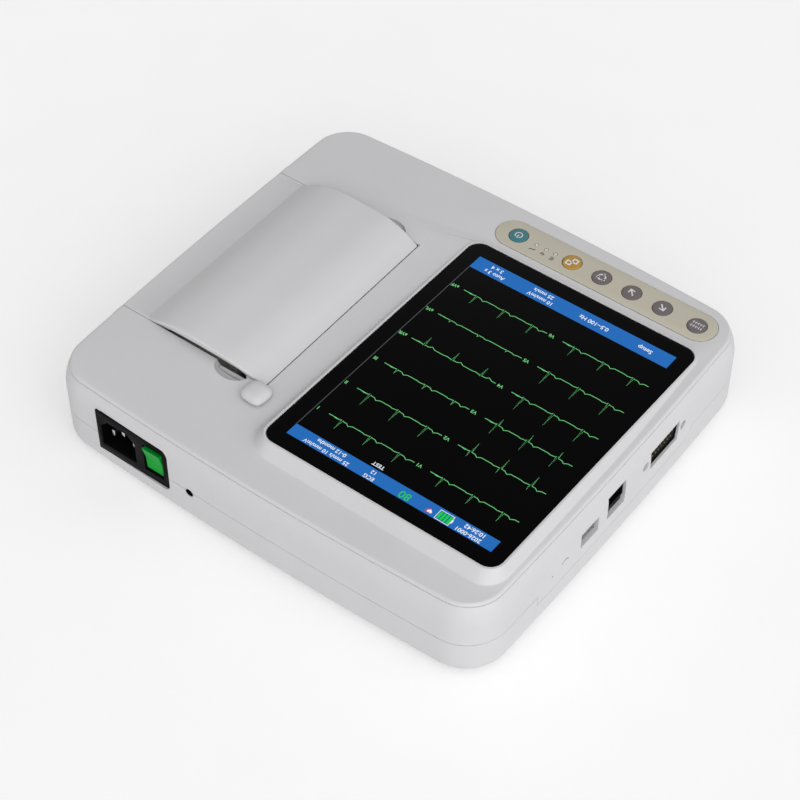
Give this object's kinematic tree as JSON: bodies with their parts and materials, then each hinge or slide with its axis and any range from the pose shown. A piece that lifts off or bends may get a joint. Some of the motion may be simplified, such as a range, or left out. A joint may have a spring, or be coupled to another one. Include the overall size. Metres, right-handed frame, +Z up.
{
  "type": "veterinary ECG machine",
  "caption": "Desktop ECG recorder in a pale case with a sloping touch screen, a key strip, a domed printer door over a paper roll, and sockets on two sides",
  "frame": {"origin": "centre of the bounding box's base, in the plane that the feet stand on", "axes": "+X towards the printer side, +Y towards the mains inlet at the rear, +Z up"},
  "size_m": [0.272, 0.2466, 0.0594],
  "materials": {
    "case_plastic": "fine moulded texture",
    "screen_glass": "polished black-backed cover glass",
    "inner_metal": "plain sheet steel",
    "socket_metal": "tin plated",
    "dark_module": "moulded",
    "inlet_plastic": "moulded",
    "rocker_green": "lit rocker",
    "strip_beige": "printed film",
    "key_teal": "printed film",
    "key_gold": "printed film",
    "key_grey": "printed film",
    "lamp_white": "light pipe",
    "board_green": "solder resist",
    "gear_plastic": "moulded",
    "brass": "turned",
    "roller_rubber": "ground",
    "foot_rubber": "moulded",
    "chart_paper": "wound thermal paper"
  },
  "bodies": {
    "case": {"upper_shell": "case_plastic", "lower_shell": "case_plastic", "screen_glass": "screen_glass", "lcd_panel": "dark_module", "lcd_bracket": "inner_metal", "key_strip": "strip_beige", "key_board": "board_green", "lamp_1": "lamp_white", "lamp_2": "lamp_white", "lamp_3": "lamp_white", "hinge_pin": "inner_metal", "paper_tub": "case_plastic", "print_head": "dark_module", "head_bracket": "inner_metal", "feed_motor": "inner_metal", "idler_axle": "inner_metal", "mains_inlet": "inlet_plastic", "pin_line": "socket_metal", "pin_neutral": "socket_metal", "pin_earth": "socket_metal", "earth_terminal": "brass", "ecg_connector": "socket_metal", "ecg_contacts": "dark_module", "jack_screw_1": "socket_metal", "jack_screw_2": "socket_metal", "lan_socket": "socket_metal", "usb_socket": "socket_metal", "main_board": "board_green", "power_board": "board_green", "battery_pack": "dark_module", "battery_cover": "case_plastic", "loudspeaker": "dark_module", "foot_1": "foot_rubber", "foot_2": "foot_rubber", "foot_3": "foot_rubber", "foot_4": "foot_rubber", "case_screw_1": "inner_metal", "case_screw_2": "inner_metal", "case_screw_3": "inner_metal", "case_screw_4": "inner_metal"},
    "door": {"printer_door": "case_plastic"},
    "platen": {"platen_roller": "roller_rubber", "platen_shaft": "inner_metal", "platen_gear": "gear_plastic"},
    "roll": {"paper_roll": "chart_paper", "paper_spindle": "dark_module"},
    "idler": {"idler_gear": "gear_plastic"},
    "pinion": {"motor_pinion": "brass"},
    "rocker": {"rocker_switch": "rocker_green"},
    "latch_button": {"latch_button": "case_plastic"},
    "latch_hook": {"latch_hook": "inner_metal"},
    "power_key": {"power_key": "key_teal"},
    "mode_key": {"mode_key": "key_gold"},
    "feed_key": {"feed_key": "key_grey"},
    "up_key": {"up_key": "key_grey"},
    "down_key": {"down_key": "key_grey"},
    "print_key": {"print_key": "key_grey"}
  },
  "joints": [
    {"name": "door_hinge", "type": "hinge", "parent": "case", "child": "door", "pos_m": [0.1285, 0, 0.0465], "axis": [0, 1, 0], "range_deg": [0, 95]},
    {"name": "platen_spin", "type": "hinge", "parent": "door", "child": "platen", "pos_m": [0.0435, 0, 0.0475], "axis": [0, 1, 0], "continuous": true},
    {"name": "idler_spin", "type": "hinge", "parent": "case", "child": "idler", "pos_m": [0.0465, 0, 0.03901], "axis": [0, 1, 0], "continuous": true},
    {"name": "pinion_spin", "type": "hinge", "parent": "case", "child": "pinion", "pos_m": [0.05266, 0, 0.03375], "axis": [0, 1, 0], "continuous": true},
    {"name": "roll_spin", "type": "hinge", "parent": "case", "child": "roll", "pos_m": [0.086, 0, 0.0323], "axis": [0, 1, 0], "continuous": true},
    {"name": "rocker_tilt", "type": "hinge", "parent": "case", "child": "rocker", "pos_m": [0, 0.1216, 0.028], "axis": [1, 0, 0], "range_deg": [0, 19]},
    {"name": "latch_press", "type": "slide", "parent": "case", "child": "latch_button", "axis": [0, 0, -1], "range_m": [0, 0.0012], "stiffness_N_per_m": 800},
    {"name": "latch_draw", "type": "slide", "parent": "case", "child": "latch_hook", "axis": [-1, 0, 0], "range_m": [0, 0.0018]},
    {"name": "power_key_press", "type": "slide", "parent": "case", "child": "power_key", "axis": [0, 0, -1], "range_m": [0, 0.001], "stiffness_N_per_m": 400},
    {"name": "mode_key_press", "type": "slide", "parent": "case", "child": "mode_key", "axis": [0, 0, -1], "range_m": [0, 0.001], "stiffness_N_per_m": 400},
    {"name": "feed_key_press", "type": "slide", "parent": "case", "child": "feed_key", "axis": [0, 0, -1], "range_m": [0, 0.001], "stiffness_N_per_m": 400},
    {"name": "up_key_press", "type": "slide", "parent": "case", "child": "up_key", "axis": [0, 0, -1], "range_m": [0, 0.001], "stiffness_N_per_m": 400},
    {"name": "down_key_press", "type": "slide", "parent": "case", "child": "down_key", "axis": [0, 0, -1], "range_m": [0, 0.001], "stiffness_N_per_m": 400},
    {"name": "print_key_press", "type": "slide", "parent": "case", "child": "print_key", "axis": [0, 0, -1], "range_m": [0, 0.001], "stiffness_N_per_m": 400}
  ],
  "couplings": [
    {"joint": "idler_spin", "follows": "platen_spin", "ratio": -0.66667},
    {"joint": "pinion_spin", "follows": "platen_spin", "ratio": 1.3333},
    {"joint": "latch_draw", "follows": "latch_press", "ratio": 1.5}
  ]
}
